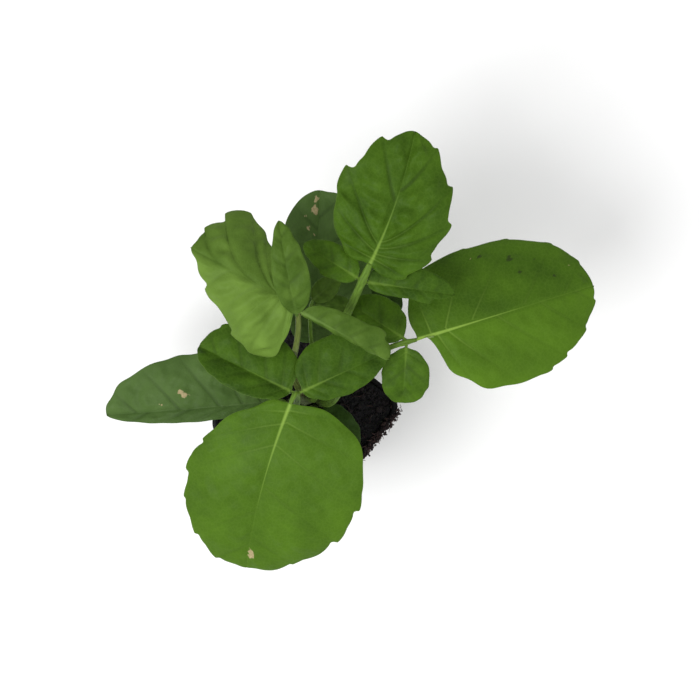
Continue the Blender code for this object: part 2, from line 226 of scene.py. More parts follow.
def pot_surface():
    """The pot's skin: rounded squares stacked along its profile, out from under its foot, over the
    rim and down inside to the floor, where both ends close on the pot's axis.

    The outer wall swells as a bell curve at two ribs on each face, which fade out at both ends.
    """
    band = POT_HEIGHT - RIM_BAND_HEIGHT
    heights = np.linspace(FOOT_EDGE, band - RIM_BAND_DEPTH - 0.6, 30)
    bends = np.linspace(0, np.pi, 9)
    outer = [(0.0, 0.0), (12.0, 0.0), (30.0, 0.0), (FOOT_SIDE - 6, 0.0), (FOOT_SIDE - 2 * FOOT_EDGE, 0.0)]
    first_wall_ring = len(outer)
    outer += [(pot_side(h), h) for h in heights]
    outer += [(pot_side(band) + 0.2, band - RIM_BAND_DEPTH), (RIM_SIDE - 0.9, band - 0.35),
              (RIM_SIDE - 0.35, band), (RIM_SIDE - 0.2, band + 1), (RIM_SIDE - 0.1, POT_HEIGHT - 3)]
    lip = (RIM_SIDE - pot_side(POT_HEIGHT) + 2 * POT_WALL) / 4
    middle = RIM_SIDE - 2 * lip
    rim = [(middle + 2 * lip * np.cos(b), POT_HEIGHT - LIP_HEIGHT + LIP_HEIGHT * np.sin(b)) for b in bends]
    inner_heights = (POT_HEIGHT - 3, POT_HEIGHT - 8, 40, 20, POT_WALL + FOOT_EDGE)
    inside = [(pot_side(h) - 2 * POT_WALL, h) for h in inner_heights]
    floor_side = pot_side(POT_WALL) - 2 * POT_WALL - 2 * FOOT_EDGE
    inside += [(floor_side, POT_WALL), (30.0, POT_WALL), (0.0, POT_WALL)]
    profile = np.array(outer + rim + inside)
    square, normal = rounded_square(POT_COLUMNS)
    rings = profile[:, None, 0:1] * square[None]
    walk = (np.arange(POT_COLUMNS) / POT_COLUMNS * 4) % 1
    rib = RIB_HEIGHT * sum(np.exp(-(((walk - at) / RIB_WIDTH) ** 2)) for at in RIB_PLACES)
    on_wall = np.zeros(len(profile))
    fade = np.clip(np.minimum(heights - 4, band - 6 - heights) / 5, 0, 1)
    on_wall[first_wall_ring:first_wall_ring + len(heights)] = fade
    rings = rings + normal[None] * (rib[None] * on_wall[:, None])[..., None]
    tall = np.broadcast_to(profile[:, None, 1:2], rings.shape[:2] + (1,))
    return np.concatenate([rings, tall], axis=-1)


def drain_cutter(corner):
    """A rod through the pot's floor, which a Boolean takes out of it as a drain hole."""
    turn = np.linspace(0, 2 * np.pi, DRAIN_SIDES, endpoint=False)
    centre = DRAIN_REACH * heading(POT_TURN + 45 + 90 * corner)[:2]
    ring = centre + DRAIN_RADIUS * np.stack([np.cos(turn), np.sin(turn)], axis=-1)
    low, high = [np.column_stack([ring, np.full(DRAIN_SIDES, h)]) for h in (-3.0, 4.0)]
    faces = [tuple(f) for f in grid_faces(2, DRAIN_SIDES, closed=True)]
    faces += [tuple(range(DRAIN_SIDES))[::-1], tuple(range(DRAIN_SIDES, 2 * DRAIN_SIDES))]
    mesh = bpy.data.meshes.new("drain_cutter")
    mesh.from_pydata(np.concatenate([low, high]) * MM, [], faces)
    return bpy.data.objects.new("drain_cutter", mesh)


def weld(piece):
    """Joins the points that coincide, such as those where a skin closes on its axis."""
    shape = bmesh.new()
    shape.from_mesh(piece.data)
    bmesh.ops.remove_doubles(shape, verts=shape.verts, dist=1e-6)
    bmesh.ops.dissolve_degenerate(shape, edges=shape.edges, dist=1e-7)
    bmesh.ops.recalc_face_normals(shape, faces=shape.faces)
    shape.to_mesh(piece.data)
    shape.free()


pot_rings = pot_surface()
pot = add_piece("nursery_pot", pot_rings, grid_faces(len(pot_rings), POT_COLUMNS, closed=True),
                [pot_plastic()], "pot_plastic")
weld(pot)
cutters = []
for corner in range(4):
    cutter = drain_cutter(corner)
    bpy.context.scene.collection.objects.link(cutter)
    hole = pot.modifiers.new("drain", "BOOLEAN")
    hole.operation = "DIFFERENCE"
    hole.solver = "EXACT"
    hole.object = cutter
    cutters.append(cutter)
bpy.context.view_layer.update()
cut_mesh = bpy.data.meshes.new_from_object(pot.evaluated_get(bpy.context.evaluated_depsgraph_get()))
pot.modifiers.clear()
pot.data = cut_mesh
for cutter in cutters:
    bpy.data.objects.remove(cutter, do_unlink=True)
pot.data.set_sharp_from_angle(angle=np.radians(50))
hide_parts("pot")

# ---------------------------------------------------------------------------------------------
# The potting soil is moist peat that was pressed into the pot by hand. Its near-black, blue-cast colour
# is partly painted shade from the leaves over it. Its top is crumbly, and some of it lies on the rim
# at the front right, with reddish-brown peat fibres and pale bits, lighter and redder there as painted
# light where light falls on that rim.

SOIL_TOP = POT_HEIGHT - 2.5
SOIL_MOUND = 2.5
CROWN = np.array([0.0, 9.0])
FRONT_RIGHT = POT_TURN - 90  # azimuth of the normal of the pot's front right face
SOIL_RINGS, SOIL_COLUMNS = 150, 480
SOIL_GAP = 0.3  # between the soil and the pot's wall, on both sides together
SOIL_FOOT = POT_WALL + 0.6
AXIS_SHARE = 0.002  # how near a skin comes to its axis before it is welded there
SOIL_CRUMBS, RIM_CRUMBS = 2300, 1100
SOIL_FIBRES, RIM_FIBRES = 150, 150
CRUMB_CORNERS = 12
FIBRE_STEPS, FIBRE_SIDES = 9, 5


def ripple(places, wavelength, waves, seed):
    """A smooth random field of about unit height: the sum of plane waves in random directions,
    with wavelengths within a third of the one given."""
    rng = np.random.default_rng(seed)
    size = places.shape[-1]
    ways = rng.normal(size=(waves, size))
    ways /= np.linalg.norm(ways, axis=1)[:, None]
    ways *= (2 * np.pi / (wavelength * rng.uniform(0.7, 1.4, waves)))[:, None]
    total = np.sin(places @ ways.T + rng.uniform(0, 2 * np.pi, waves)).sum(axis=-1)
    return total / np.sqrt(waves / 2)


def soil_height(x, y):
    """The soil's top: a mound at the crown, as in a bell curve, with soft hollows away from it and
    crumbs that are ripples of three sizes."""
    near = np.exp(-((x - CROWN[0]) ** 2 + (y - CROWN[1]) ** 2) / 16.0**2)
    hollows = 0.5 * np.sin(0.31 * x + 1.0) * np.cos(0.27 * y) + 0.3 * np.sin(0.55 * y + 0.2 * x)
    places = np.stack([x, y], axis=-1)
    crumbs = sum(size * np.abs(ripple(places, length, 14, seed))
                 for size, length, seed in ((0.5, 5.0, 1), (0.3, 2.2, 2), (0.16, 1.0, 3)))
    return SOIL_TOP + SOIL_MOUND * near + hollows * (1 - near) + crumbs - 0.6


def peat(name, dark, light, fleck):
    """Moist peat: colour from each grain's own shade and fine noise, pale flecks, dull but damp. On the
    rim's crumbs and fibres the grain's shade also holds painted light.
    """
    made, shader = new_material(name, dark, 0.8, 0.35)
    place = object_place(made)
    cloudy = product(made, noise(made, place, 0.0012, 4), 0.6)
    mixed = math_of(made, "ADD", cloudy, attribute(made, "grain"))
    colour = blend_colours(made, stretch(made, mixed, 0.3, 1.3), dark, light)
    flecks = stretch(made, noise(made, place, 0.0011, 1), 0.735, 0.77)
    colour = blend_colours(made, flecks, colour, fleck)
    join(made, colour, shader, "Base Color")
    join(made, stretch(made, noise(made, place, 0.002, 3), 0.35, 0.7, 0.65, 0.95), shader, "Roughness")
    bump(made, shader, noise(made, place, 0.0008, 4, 0.7), 0.0005)
    return made


def soil_skin():
    """The soil's skin: rounded squares that shrink from the wall to the axis, lifted to the soil's
    height, then down the wall to a flat underside."""
    square, _ = rounded_square(SOIL_COLUMNS)
    shares = np.linspace(1, AXIS_SHARE, SOIL_RINGS) ** 0.8
    side = pot_side(SOIL_TOP) - 2 * POT_WALL - SOIL_GAP
    top = side * shares[:, None, None] * square[None]
    height = soil_height(top[..., 0], top[..., 1])
    top = np.concatenate([top, height[..., None]], axis=-1)[::-1]
    walls = []
    for h in (SOIL_TOP - 3, 40.0, SOIL_FOOT):
        ring = (pot_side(h) - 2 * POT_WALL - SOIL_GAP) * square
        walls.append(np.column_stack([ring, np.full(SOIL_COLUMNS, h)]))
    walls.append(np.column_stack([AXIS_SHARE * square, np.full(SOIL_COLUMNS, SOIL_FOOT)]))
    return np.concatenate([top, np.array(walls)])


soil_rings = soil_skin()
grain = 0.15 + 0.12 * ripple(soil_rings, 3.0, 12, 5)
# Painted shade: the soil's near-black, blue-cast colours stand for the shade that the leaves cast over it.
soil = add_piece("peat_soil", soil_rings, grid_faces(len(soil_rings), SOIL_COLUMNS, closed=True)[:, ::-1],
                 [peat("moist_peat_painted_shade", (0.0025, 0.0026, 0.0038), (0.012, 0.0095, 0.011), (0.05, 0.045, 0.05))],
                 "potting_soil", grain=grain)
weld(soil)
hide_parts("potting_soil")


def crumb_shapes(centres, sizes, seed):
    """One lump for each centre: an icosahedron, squashed and turned at random, with each corner
    pulled in or out by up to a third. Returns their points and faces."""
    rng = np.random.default_rng(seed)
    golden = (1 + 5**0.5) / 2
    ball = np.array([(s, t * golden, 0) for s in (-1, 1) for t in (-1, 1)])
    ball = np.concatenate([ball, ball[:, [2, 0, 1]], ball[:, [1, 2, 0]]]) / np.hypot(1, golden)
    gap = np.linalg.norm(ball[:, None] - ball[None], axis=-1)
    beside = (gap > 0.1) & (gap < 1.2)
    corners = range(CRUMB_CORNERS)
    sides = [(i, j, k) for i in corners for j in corners[i + 1:] for k in corners[j + 1:]
             if beside[i, j] and beside[j, k] and beside[i, k]]
    sides = np.array([s if np.linalg.det(ball[list(s)]) > 0 else s[::-1] for s in sides])
    count = len(centres)
    lumps = ball[None] * rng.uniform(0.66, 1.2, (count, CRUMB_CORNERS, 1))
    lumps = lumps * rng.uniform(0.5, 1.2, (count, 1, 3)) * np.asarray(sizes)[:, None, None]
    turns, _ = np.linalg.qr(rng.normal(size=(count, 3, 3)))
    turns *= np.sign(np.linalg.det(turns))[:, None, None]
    points = np.einsum("nij,nkj->nki", turns, lumps) + np.asarray(centres)[:, None]
    faces = sides[None] + CRUMB_CORNERS * np.arange(count)[:, None, None]
    return points.reshape(-1, 3), faces.reshape(-1, 3)


def strand_shapes(starts, azimuths, lengths, radii, seed):
    """One thin bent tube for each start: its heading wanders as a random walk, its middle is lifted
    by half a sine, and its ends taper. Returns their points and faces."""
    rng = np.random.default_rng(seed)
    count, steps, sides = len(starts), FIBRE_STEPS, FIBRE_SIDES
    share = np.linspace(0, 1, steps)
    turn = np.radians(azimuths)[:, None] + np.cumsum(rng.normal(0, 0.28, (count, steps)), axis=1)
    step = (np.asarray(lengths) / (steps - 1))[:, None]
    x = np.cumsum(np.cos(turn) * step, axis=1)
    y = np.cumsum(np.sin(turn) * step, axis=1)
    z = np.sin(np.pi * share)[None] * rng.uniform(0.2, 1, (count, 1))
    line = np.stack([x, y, z], axis=-1) + np.asarray(starts)[:, None]
    along = np.gradient(line, axis=1)
    along /= np.linalg.norm(along, axis=-1)[..., None]
    beside = np.cross(along, [0, 0, 1])
    beside /= np.linalg.norm(beside, axis=-1)[..., None]
    above = np.cross(beside, along)
    round_ = np.linspace(0, 2 * np.pi, sides, endpoint=False)
    thick = np.asarray(radii)[:, None] * (0.25 + 0.75 * np.sin(np.pi * share)[None] ** 0.5)
    ring = beside[:, :, None] * np.cos(round_)[:, None] + above[:, :, None] * np.sin(round_)[:, None]
    points = line[:, :, None] + ring * thick[:, :, None, None]
    one = grid_faces(steps, sides, closed=True)
    faces = one[None] + steps * sides * np.arange(count)[:, None, None]
    ends = np.array([list(range(sides))[::-1], [(steps - 1) * sides + k for k in range(sides)]])
    caps = ends[None] + steps * sides * np.arange(count)[:, None, None]
    return points.reshape(-1, 3), [tuple(f) for f in faces.reshape(-1, 4)] + [
        tuple(f) for f in caps.reshape(-1, sides)]


def on_soil(rng, count, inset=2.0):
    """Random places on the soil's top, inside the pot's wall."""
    reach = pot_side(SOIL_TOP) / 2 - POT_WALL - inset
    flat = rng.uniform(-reach, reach, (count, 2))
    ways = np.array([heading(POT_TURN)[:2], heading(POT_TURN + 90)[:2]])
    flat = flat @ ways
    return np.column_stack([flat, soil_height(flat[:, 0], flat[:, 1])])


def along_rim(rng, count, spread):
    """Random places on the rim of the pot's front right face, thicker towards its front corner."""
    across, along = heading(FRONT_RIGHT), heading(FRONT_RIGHT + 90)
    walk = RIM_SIDE * (0.45 - 0.88 * rng.beta(1.5, 1.6, count))
    out = RIM_SIDE / 2 - 0.4 + rng.normal(0, 0.9, count) * spread
    height = POT_HEIGHT + rng.uniform(-0.9, 0.8, count) * spread
    return out[:, None] * across + walk[:, None] * along + height[:, None] * [0, 0, 1]


rng = np.random.default_rng(11)
crumb_places = np.concatenate([on_soil(rng, SOIL_CRUMBS), along_rim(rng, RIM_CRUMBS, 1.0)])
soil_sizes = rng.gamma(3.0, 0.17, SOIL_CRUMBS) + 0.25
rim_sizes = rng.gamma(3.0, 0.12, RIM_CRUMBS) + 0.2
points, faces = crumb_shapes(crumb_places, np.concatenate([soil_sizes, rim_sizes]), 12)
# Painted light: the rim's crumbs run redder and lighter than the soil's where light falls on the front right
# rim, and their near-black end is painted shade as on the soil.
redness_and_rim_light = np.concatenate([rng.uniform(0, 0.35, SOIL_CRUMBS), rng.uniform(0.1, 0.9, RIM_CRUMBS)])
crumbs = add_piece("peat_crumbs", points, faces,
                   [peat("peat_crumb", (0.003, 0.0032, 0.0045), (0.03, 0.014, 0.014), (0.07, 0.06, 0.06))],
                   "potting_soil", smooth=False, grain=np.repeat(redness_and_rim_light, CRUMB_CORNERS))

fibre_starts = np.concatenate([on_soil(rng, SOIL_FIBRES, 4.0), along_rim(rng, RIM_FIBRES, 1.2)])
fibre_ways = rng.uniform(0, 360, SOIL_FIBRES + RIM_FIBRES)
rim_ways = FRONT_RIGHT + 90 + rng.normal(0, 24, RIM_FIBRES) + 180 * rng.integers(0, 2, RIM_FIBRES)
fibre_ways[SOIL_FIBRES:] = rim_ways
fibre_lengths = np.concatenate([rng.uniform(2.5, 7.5, SOIL_FIBRES), rng.uniform(1.0, 3.0, RIM_FIBRES)])
fibre_radii = rng.uniform(0.08, 0.2, SOIL_FIBRES + RIM_FIBRES)
points, faces = strand_shapes(fibre_starts, fibre_ways, fibre_lengths, fibre_radii, 13)
# Painted light: the rim's fibres run paler than the soil's where light falls on the front right rim.
pale = np.concatenate([rng.uniform(0, 0.6, SOIL_FIBRES), rng.uniform(0.4, 1.2, RIM_FIBRES)])
fibres = add_piece("peat_fibres", points, faces,
                   [peat("peat_fibre", (0.02, 0.009, 0.008), (0.12, 0.065, 0.06), (0.32, 0.29, 0.28))],
                   "potting_soil", grain=np.repeat(pale, FIBRE_STEPS * FIBRE_SIDES))

# ---------------------------------------------------------------------------------------------
# The rootstock is the short upright base of the plant, where all the petioles start. It is greyish
# green, ringed by the scars of old leaves, and stands in the soil with only its top showing.

CROWN_RADIUS = 5.5
CROWN_TOP = SOIL_TOP + SOIL_MOUND + 3.5
ROOT_DEPTH = 34.0
ROOT_ROWS, ROOT_COLUMNS = 60, 72
ROOT_INSET = 0.35  # keeps the lobes inside the rootstock's own girth


def rootstock_skin():
    """A turned shape whose radius steps in and out at the leaf scars as a rectified sine, lobed
    round its girth where petioles press on it."""
    depth = np.linspace(0, ROOT_DEPTH, ROOT_ROWS)
    turn = np.linspace(0, 2 * np.pi, ROOT_COLUMNS, endpoint=False)
    shares = np.interp(depth, [0, 1.2, 7, 17, 29, ROOT_DEPTH], [0.74, 0.86, 1, 0.85, 0.55, 0.25])
    radius = CROWN_RADIUS * shares
    scars = 0.22 * np.abs(np.sin(depth * 1.3)) * np.clip(1 - depth / 14, 0, 1)
    lobes = 0.25 * np.sin(7 * turn[None] + 0.2 * depth[:, None])
    r = (radius + scars)[:, None] + lobes - ROOT_INSET
    ring = np.stack([CROWN[0] + r * np.cos(turn), CROWN[1] + r * np.sin(turn),
                     np.broadcast_to(CROWN_TOP - depth[:, None], r.shape)], axis=-1)
    domes = []
    for share in (0.01, 0.5, 0.85):
        dome = ring[0].copy()
        dome[:, :2] = CROWN + (dome[:, :2] - CROWN) * share
        dome[:, 2] += 0.5 * (1 - share**2)
        domes.append(dome)
    base = ring[-1].copy()
    base[:, :2] = CROWN + (base[:, :2] - CROWN) * 0.01
    return np.concatenate([np.array(domes), ring, base[None]])


def root_skin():
    """The rootstock's skin: grey-green, paler and darker in patches of noise, with a fine bump."""
    made, shader = new_material("rootstock_bark", (0.12, 0.15, 0.06), 0.75, 0.3)
    place = object_place(made)
    colour = blend_colours(made, noise(made, place, 0.0015, 5), (0.05, 0.06, 0.025), (0.2, 0.25, 0.12))
    join(made, colour, shader, "Base Color")
    bump(made, shader, noise(made, place, 0.0007, 4), 0.0002)
    return made


skin = rootstock_skin()
rootstock = add_piece("leaf_rootstock", skin, grid_faces(len(skin), ROOT_COLUMNS, closed=True)[:, ::-1],
                      [root_skin()], "rootstock")
weld(rootstock)
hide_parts("rootstock")

# ---------------------------------------------------------------------------------------------
# A petiole is a leaf's stalk: fleshy, pale yellow-green, with a groove along its upper side and
# fine ridges. It is wider and browner where it clasps the rootstock, and swells at its leaflets.

PETIOLE_FOOT_PITCH = 76.0
PETIOLE_ROWS, PETIOLE_COLUMNS = 150, 40
FIT_GAP = 0.35  # between a petiole and what it stands on or carries


def petiole_line(leaf, shares):
    """Points of the petiole's cubic curve, from the rootstock to the end blade."""
    if leaf.get("on_top"):
        ring, height = 2.2, CROWN_TOP + 2 * FIT_GAP
    else:
        ring, height = CROWN_RADIUS + leaf["foot_radius"] + FIT_GAP, SOIL_TOP + SOIL_MOUND + 0.8
    foot = np.array([*CROWN, height]) + ring * heading(leaf["foot_azimuth"])
    lower = foot + leaf["rise"] * heading(leaf["foot_azimuth"], PETIOLE_FOOT_PITCH)
    end = np.array(leaf["end"], float)
    upper = end - leaf["reach"] * heading(leaf["azimuth"], leaf["pitch"])
    t = np.asarray(shares, float)[:, None]
    return (1 - t) ** 3 * foot + 3 * (1 - t) ** 2 * t * lower + 3 * (1 - t) * t**2 * upper + t**3 * end


def node_share(leaf):
    """The share of the petiole's curve that lies below its side leaflets."""
    shares = np.linspace(0, 1, 101)
    line = petiole_line(leaf, shares)
    to_end = np.cumsum(np.linalg.norm(np.diff(line[::-1], axis=0), axis=1))
    return 1 - float(np.interp(leaf["node_back"], to_end, shares[1:]))


def petiole_radius(leaf, share):
    """The petiole's radius at a share of its curve: a straight taper from its foot to its end."""
    return leaf["foot_radius"] + (leaf["end_radius"] - leaf["foot_radius"]) * share


def petiole_skin(leaf):
    """Rings carried along the petiole's curve, and how far along it each one is. A ring is a circle
    with a notch for the groove and nine shallow ridges. The radius tapers, widens at the foot and
    swells at the node, and both ends reach a little past the curve's."""
    shares = np.linspace(0, 1, PETIOLE_ROWS)
    line = petiole_line(leaf, shares)
    along = np.gradient(line, axis=0)
    along /= np.linalg.norm(along, axis=1)[:, None]
    run = np.concatenate([[0], np.cumsum(np.linalg.norm(np.diff(line, axis=0), axis=1))])
    near_foot = np.clip(1 - run / 3.0, 0, 1)[:, None]
    near_end = np.clip((run - run[-1]) / 2.0 + 1, 0, 1)[:, None]
    line = line - near_foot * (1.0 if leaf.get("on_top") else 2.0) * along
    line = line + near_end * along
    out = line[-1] - line[0]
    level = np.cross([0, 0, 1], [out[0], out[1], 0])
    beside = level - (along @ level)[:, None] * along
    beside /= np.linalg.norm(beside, axis=1)[:, None]
    above = np.cross(along, beside)
    turn = np.linspace(0, 2 * np.pi, PETIOLE_COLUMNS, endpoint=False)
    away = np.abs((turn - np.pi / 2 + np.pi) % (2 * np.pi) - np.pi)
    groove = 0.3 * np.exp(-((away / 0.45) ** 2))
    ridges = 0.03 * np.cos(9 * turn)
    taper = petiole_radius(leaf, shares) * (1 + 0.4 * np.exp(-run / 3.5))
    if "leaflets" in leaf:
        from_node = (shares - node_share(leaf)) * run[-1]
        taper = taper * (1 + 0.22 * np.exp(-((from_node / 1.6) ** 2)))
    taper = taper * (1 - 0.25 * np.clip((run - run[-1]) / 3 + 1, 0, 1))
    deep = np.clip(0.3 + run / 12, 0, 1)[:, None]
    r = taper[:, None] * (1 - groove[None] * deep + ridges[None])
    wide = (1 + 0.35 * np.exp(-run / 5.0))[:, None]
    rings = line[:, None] + (r * np.cos(turn) * wide)[..., None] * beside[:, None]
    rings = rings + (r * np.sin(turn))[..., None] * above[:, None]
    ends = [line[i][None, None] + (rings[i] - line[i])[None] * 0.02 for i in (0, -1)]
    return np.concatenate([ends[0], rings, ends[1]]), np.concatenate([[0], run, run[-1:]])


def stalk_flesh(name, green, foot_colour):
    """Petiole flesh: pale green with darker stripes along it, browner near its foot, slightly glossy."""
    made, shader = new_material(name, green, 0.48, 0.25)
    shader.inputs["IOR"].default_value = 1.3
    place = object_place(made)
    run = attribute(made, "run")
    drawn_out = flat_place(made, attribute(made, "round"), product(made, run, 0.04))
    stripes = add_node(made, "TexNoise", {"Vector": drawn_out, "Scale": 7.0, "Detail": 3.0}).outputs["Fac"]
    colour = blend_colours(made, stretch(made, stripes, 0.35, 0.7), green, tuple(0.62 * c for c in green))
    uneven_run = math_of(made, "ADD", run, product(made, noise(made, place, 0.004), 9.0))
    brown = stretch(made, uneven_run, 7.0, 17.0, 1.0, 0.0)
    join(made, blend_colours(made, brown, colour, foot_colour), shader, "Base Color")
    bump(made, shader, noise(made, place, 0.0004, 2), 0.00004)
    return made


STALKS = {
    "green": stalk_flesh("petiole_flesh", (0.11, 0.2, 0.025), (0.11, 0.15, 0.055)),
    "young": stalk_flesh("young_petiole_flesh", (0.12, 0.16, 0.035), (0.12, 0.13, 0.05)),
}


def add_petiole(leaf):
    """Makes a leaf's petiole in place of its plain rod."""
    skin, run = petiole_skin(leaf)
    grid = skin.shape[:2]
    round_ = np.sin(np.linspace(0, np.pi, PETIOLE_COLUMNS))
    piece = add_piece(leaf["name"] + "_stalk", skin, grid_faces(*grid, closed=True),
                      [STALKS[leaf.get("flesh", "green")]], "petiole",
                      run=np.broadcast_to(run[:, None], grid), round=np.broadcast_to(round_, grid))
    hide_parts(leaf["name"] + "_petiole")


# ---------------------------------------------------------------------------------------------
# A leaf blade is a soft sheet about 0.4 mm thick. Its secondary veins leave the midrib on both
# sides and bend forward to the teeth of its margin. The flesh is raised between them on the upper
# side, and the veins stand out below. Upper and lower skins meet at a closed margin.

THICKNESS = 0.42
STALK_HALF, TIP_HALF = 0.55, 0.1  # half the least width of a blade, near its foot and near its tip
END_GAP = 0.65  # from the end of a petiole's curve to the foot of its end blade
END_ROOT, SIDE_ROOT = 0.5, 1.4  # how far an end blade and a side leaflet start behind their feet
WAVE_SHARE = 0.45  # the length of a blade's waves, as a share of the blade's
BLADE = {  # what a blade has unless its own values, for the whole of it or for one side, say otherwise
    "sweep": 0.0,  # how far the heading turns from foot to tip
    "droop": -14.0,  # how far the pitch turns from foot to tip
    "tilt": 10.0,  # the rise of a half beside the midrib
    "curl": -20.0,  # how far a half turns on its way to the margin
    "wave": 0.035,  # the height of the margin's waves, as a share of the half's width
    "stalk": 0.0,  # the length of the bare foot of the midrib
    "widest": 0.45,  # where it is widest, as a share of its length past the stalk
    "foot_form": 2.0,  # the margin below the widest place: 2 is an ellipse, and more is squarer
    "tip_form": 1.7,  # the margin above the widest place
    "lobe": 0.0,  # how far back the foot is drawn
    "rake": 0.0,  # how far forward the margin leans
    "teeth_left": (),  # each tooth's share of the margin, and its height
    "teeth_right": (),
    "veins": 5,  # how many secondary veins a half has, unless veins_left or veins_right places them
    "vein_lean": 1.1,  # how far behind its end a vein starts
    "vein_bend": 1.08,  # under 1 a vein turns forward at first, and over 1 it does so later
    "puff": 0.35,  # how high the flesh rises between the veins
    "groove": 0.18,  # how deep the upper skin sinks along them
    "colour": "green",
    "tone": 0.5,  # from dark green to light
    "painted_light_left": 0.0,  # what one half adds to it: painted light or shade, lighter where light falls on that half, darker where it turns away
    "painted_light_right": 0.0,
    "pale": 0.35,  # how much of the veins is pale near the foot
    "deep": 0.5,  # how dark the painted shade along the veins' grooves is further on
    "marks": (),  # each tan mark's distances along the midrib and to the left of it, and its radius
    "specks": (),  # the same for dark specks
}


def smooth(values, width):
    """A running average with a bell-shaped window, which keeps the ends where they are."""
    reach = int(3 * width) + 1
    window = np.exp(-0.5 * (np.arange(-reach, reach + 1) / max(width, 0.1)) ** 2)
    left = 2 * values[0] - values[reach:0:-1]
    right = 2 * values[-1] - values[-2:-reach - 2:-1]
    return np.convolve(np.concatenate([left, values, right]), window / window.sum(), mode="valid")


def of_side(blade, key, side):
    """A value of one half of a blade, or else of the whole blade."""
    return blade.get(f"{key}_{side}", blade[key])


def of_half(blade, key, y):
    """The value at each point of the half that the point is on."""
    return np.where(y > 0, of_side(blade, key, "left"), of_side(blade, key, "right"))


def margin(blade, side, rows):
    """One margin in the blade's plane, as (distance along the midrib, distance from it).

    It is half a superellipse from the foot to the widest place and half another to the tip, moved
    back at the foot by the lobe and forward by the rake, and spaced evenly. A low ripple makes it
    uneven. Each tooth is a blunt lobe that leans forward: it rises as a power of a sine, drops by half
    a cosine within a quarter of that, and ends in a shallow dip.
    """
    length, stalk, half = blade["length"], of_side(blade, "stalk", side), blade[side]
    turn = np.linspace(0, np.pi, 1441)
    low = turn < np.pi / 2
    form = np.where(low, of_side(blade, "foot_form", side), of_side(blade, "tip_form", side))
    away = np.abs(np.cos(turn)) ** (2 / form)
    wide = np.clip(np.sin(turn), 0, 1) ** (2 / form)
    widest = of_side(blade, "widest", side)
    share = np.where(low, widest * (1 - away), widest + (1 - widest) * away)
    y = half * wide
    x = stalk + share * (length - stalk)
    x = x + of_side(blade, "rake", side) * y - of_side(blade, "lobe", side) * y * (1 - share) ** 4
    x = np.concatenate([[-blade["root"], stalk * 0.7], x[1:]])
    y = np.concatenate([[0.0, 0.0], y[1:]])
    y = np.maximum(y, np.where(x < length / 2, STALK_HALF, TIP_HALF))
    run = np.concatenate([[0], np.cumsum(np.hypot(np.diff(x), np.diff(y)))])
    even = np.linspace(0, run[-1], rows)
    x, y = np.interp(even, run, x), np.interp(even, run, y)
    ahead = np.stack([np.gradient(x), np.gradient(y)])
    ahead /= np.hypot(*ahead)
    outward = np.stack([-ahead[1], ahead[0]])
    seed = sum(map(ord, blade["name"] + side))
    push = 0.011 * half * ripple(even[:, None], 0.16 * run[-1], 6, seed)
    lean = np.zeros(rows)
    for at, height in blade["teeth_" + side]:
        rise, drop = 6.0 * height**0.6, 1.5 * height**0.6
        t = even - at * run[-1]
        before = np.sin(np.pi / 2 * np.clip(1 + t / rise, 0, 1)) ** 1.4 * (t <= 0)
        after = (0.5 + 0.5 * np.cos(np.pi * np.clip(t / drop, 0, 1))) * (t > 0)
        dip = 0.2 * np.exp(-(((t - 1.2 * drop) / (0.7 * drop)) ** 2))
        push = push + height * (before + after - dip)
        lean = lean + 0.55 * height * (before + after) ** 3
    push, lean = smooth(push, 0.45 * rows / run[-1]), smooth(lean, 0.45 * rows / run[-1])
    ease = np.clip(np.minimum(even, run[-1] - even) / (0.05 * run[-1]), 0, 1)
    shift = ease * (push * outward + lean * ahead)
    return x + shift[0], y + shift[1]


def plan_of(blade, rows, columns):
    """The blade's grid in its own plane, with rows that follow the secondary veins.

    A row leaves the midrib behind its margin point, by the vein lean times that point's distance
    from it, evened out along the midrib. It goes forward on the way out as its share of the width to
    the power of the vein bend. Columns run from the right margin to the left one. Also returns where
    the rows leave the midrib, and the columns' shares of the width.
    """
    edges = {side: margin(blade, side, rows) for side in ("left", "right")}
    length, root = blade["length"], blade["root"]
    behind = sum(np.clip(x - blade["vein_lean"] * y, -root, length) for x, y in edges.values()) / 2
    start = np.maximum.accumulate(behind)
    q = np.linspace(0, 1, rows)
    start = 0.72 * start + 0.28 * (-root + q * (length + root))
    start = smooth(start, rows * 0.02)
    start[0], start[-1] = -root, length
    v = np.linspace(-1, 1, 2 * columns + 1)
    out = np.abs(v) ** 0.85
    grids = []
    for side, sign in (("right", -1), ("left", 1)):
        x, y = edges[side]
        keep = v <= 0 if sign < 0 else v > 0
        share = out[keep]
        forward = (x - start)[:, None] * share ** blade["vein_bend"]
        grids.append(np.stack([start[:, None] + forward, sign * y[:, None] * share], axis=-1))
    return np.concatenate(grids, axis=1), start, out


def midrib(blade, foot, at):
    """Points on the midrib at distances along it, and the ways ahead, leftward and upward there. Its
    heading and pitch turn evenly from foot to tip, and it runs straight on past both ends."""
    length = blade["length"]
    fine = np.linspace(0, 1, 201)
    a = np.radians(blade["azimuth"] + blade["sweep"] * fine)
    p = np.radians(blade["pitch"] + blade["droop"] * fine)
    ahead = np.stack([np.cos(a) * np.cos(p), np.sin(a) * np.cos(p), np.sin(p)], axis=1)
    steps = (ahead[1:] + ahead[:-1]) / 2 * length / 200
    line = foot + np.concatenate([np.zeros((1, 3)), np.cumsum(steps, axis=0)])
    share = np.clip(at / length, 0, 1)
    place = np.stack([np.interp(share, fine, line[:, k]) for k in range(3)], axis=-1)
    ahead = np.stack([np.interp(share, fine, ahead[:, k]) for k in range(3)], axis=-1)
    place = place + (at - share * length)[..., None] * ahead
    leftward = np.cross([0.0, 0.0, 1.0], ahead)
    leftward /= np.linalg.norm(leftward, axis=-1)[..., None]
    return place, ahead, leftward, np.cross(ahead, leftward)


